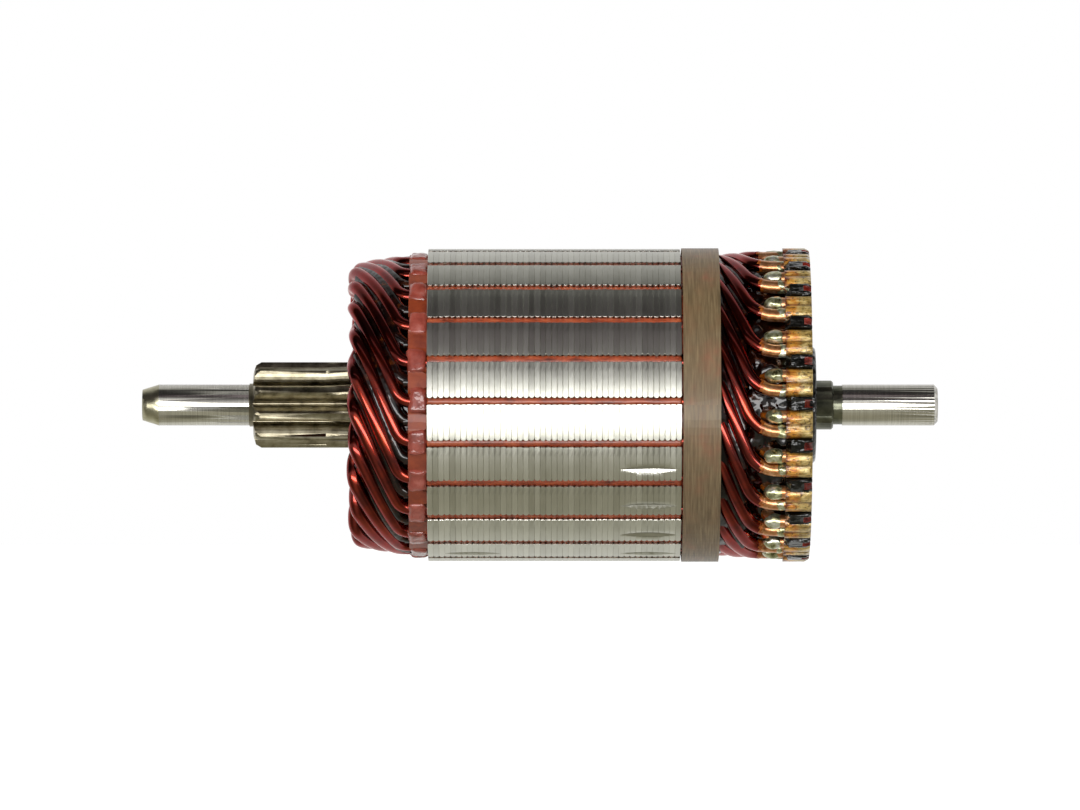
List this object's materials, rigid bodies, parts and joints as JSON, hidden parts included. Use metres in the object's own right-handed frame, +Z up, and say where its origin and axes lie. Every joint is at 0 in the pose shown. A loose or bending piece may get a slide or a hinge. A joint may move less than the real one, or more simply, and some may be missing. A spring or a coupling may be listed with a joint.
{
  "type": "motor armature",
  "caption": "Wound armature of a geared starter motor, with a sun gear on its shaft, a slotted laminated core, a wave winding of round wire and a flat face commutator.",
  "frame": {"origin": "on the shaft's axis, half way along the shaft", "axes": "+X along the shaft from the sun gear towards the commutator, +Z up"},
  "size_m": [0.1552, 0.0612, 0.0612],
  "materials": {
    "shaft_steel": "ground steel, journals bright, the gear and collar browned by heat and varnish",
    "lamination_steel": "electrical steel, turned bright over the stack, with varnish in the slot mouths",
    "fibre": "brick-red insulating board, satin under varnish",
    "liner_paper": "pinkish red insulating paper, folded into cuffs and varnished",
    "enamelled_copper": "copper wire under dark red enamel and impregnating varnish, glossy",
    "bar_copper": "copper under golden varnish at the rim, with pale solder on the wire ends",
    "moulding_resin": "black phenolic moulding, glossy between the bars",
    "band_resin": "greenish brown resin-glass tape, glossy and slightly see-through"
  },
  "bodies": {
    "root": {"shaft": "shaft_steel", "lamination_stack": "lamination_steel", "insulating_disc_drive": "fibre", "insulating_disc_rear": "fibre", "slot_liners": "liner_paper", "coil_01": "enamelled_copper", "coil_02": "enamelled_copper", "coil_03": "enamelled_copper", "coil_04": "enamelled_copper", "coil_05": "enamelled_copper", "coil_06": "enamelled_copper", "coil_07": "enamelled_copper", "coil_08": "enamelled_copper", "coil_09": "enamelled_copper", "coil_10": "enamelled_copper", "coil_11": "enamelled_copper", "coil_12": "enamelled_copper", "coil_13": "enamelled_copper", "coil_14": "enamelled_copper", "coil_15": "enamelled_copper", "coil_16": "enamelled_copper", "coil_17": "enamelled_copper", "coil_18": "enamelled_copper", "coil_19": "enamelled_copper", "coil_20": "enamelled_copper", "coil_21": "enamelled_copper", "coil_22": "enamelled_copper", "coil_23": "enamelled_copper", "commutator_bar_01": "bar_copper", "commutator_bar_02": "bar_copper", "commutator_bar_03": "bar_copper", "commutator_bar_04": "bar_copper", "commutator_bar_05": "bar_copper", "commutator_bar_06": "bar_copper", "commutator_bar_07": "bar_copper", "commutator_bar_08": "bar_copper", "commutator_bar_09": "bar_copper", "commutator_bar_10": "bar_copper", "commutator_bar_11": "bar_copper", "commutator_bar_12": "bar_copper", "commutator_bar_13": "bar_copper", "commutator_bar_14": "bar_copper", "commutator_bar_15": "bar_copper", "commutator_bar_16": "bar_copper", "commutator_bar_17": "bar_copper", "commutator_bar_18": "bar_copper", "commutator_bar_19": "bar_copper", "commutator_bar_20": "bar_copper", "commutator_bar_21": "bar_copper", "commutator_bar_22": "bar_copper", "commutator_bar_23": "bar_copper", "commutator_moulding": "moulding_resin", "band": "band_resin"}
  },
  "joints": []
}
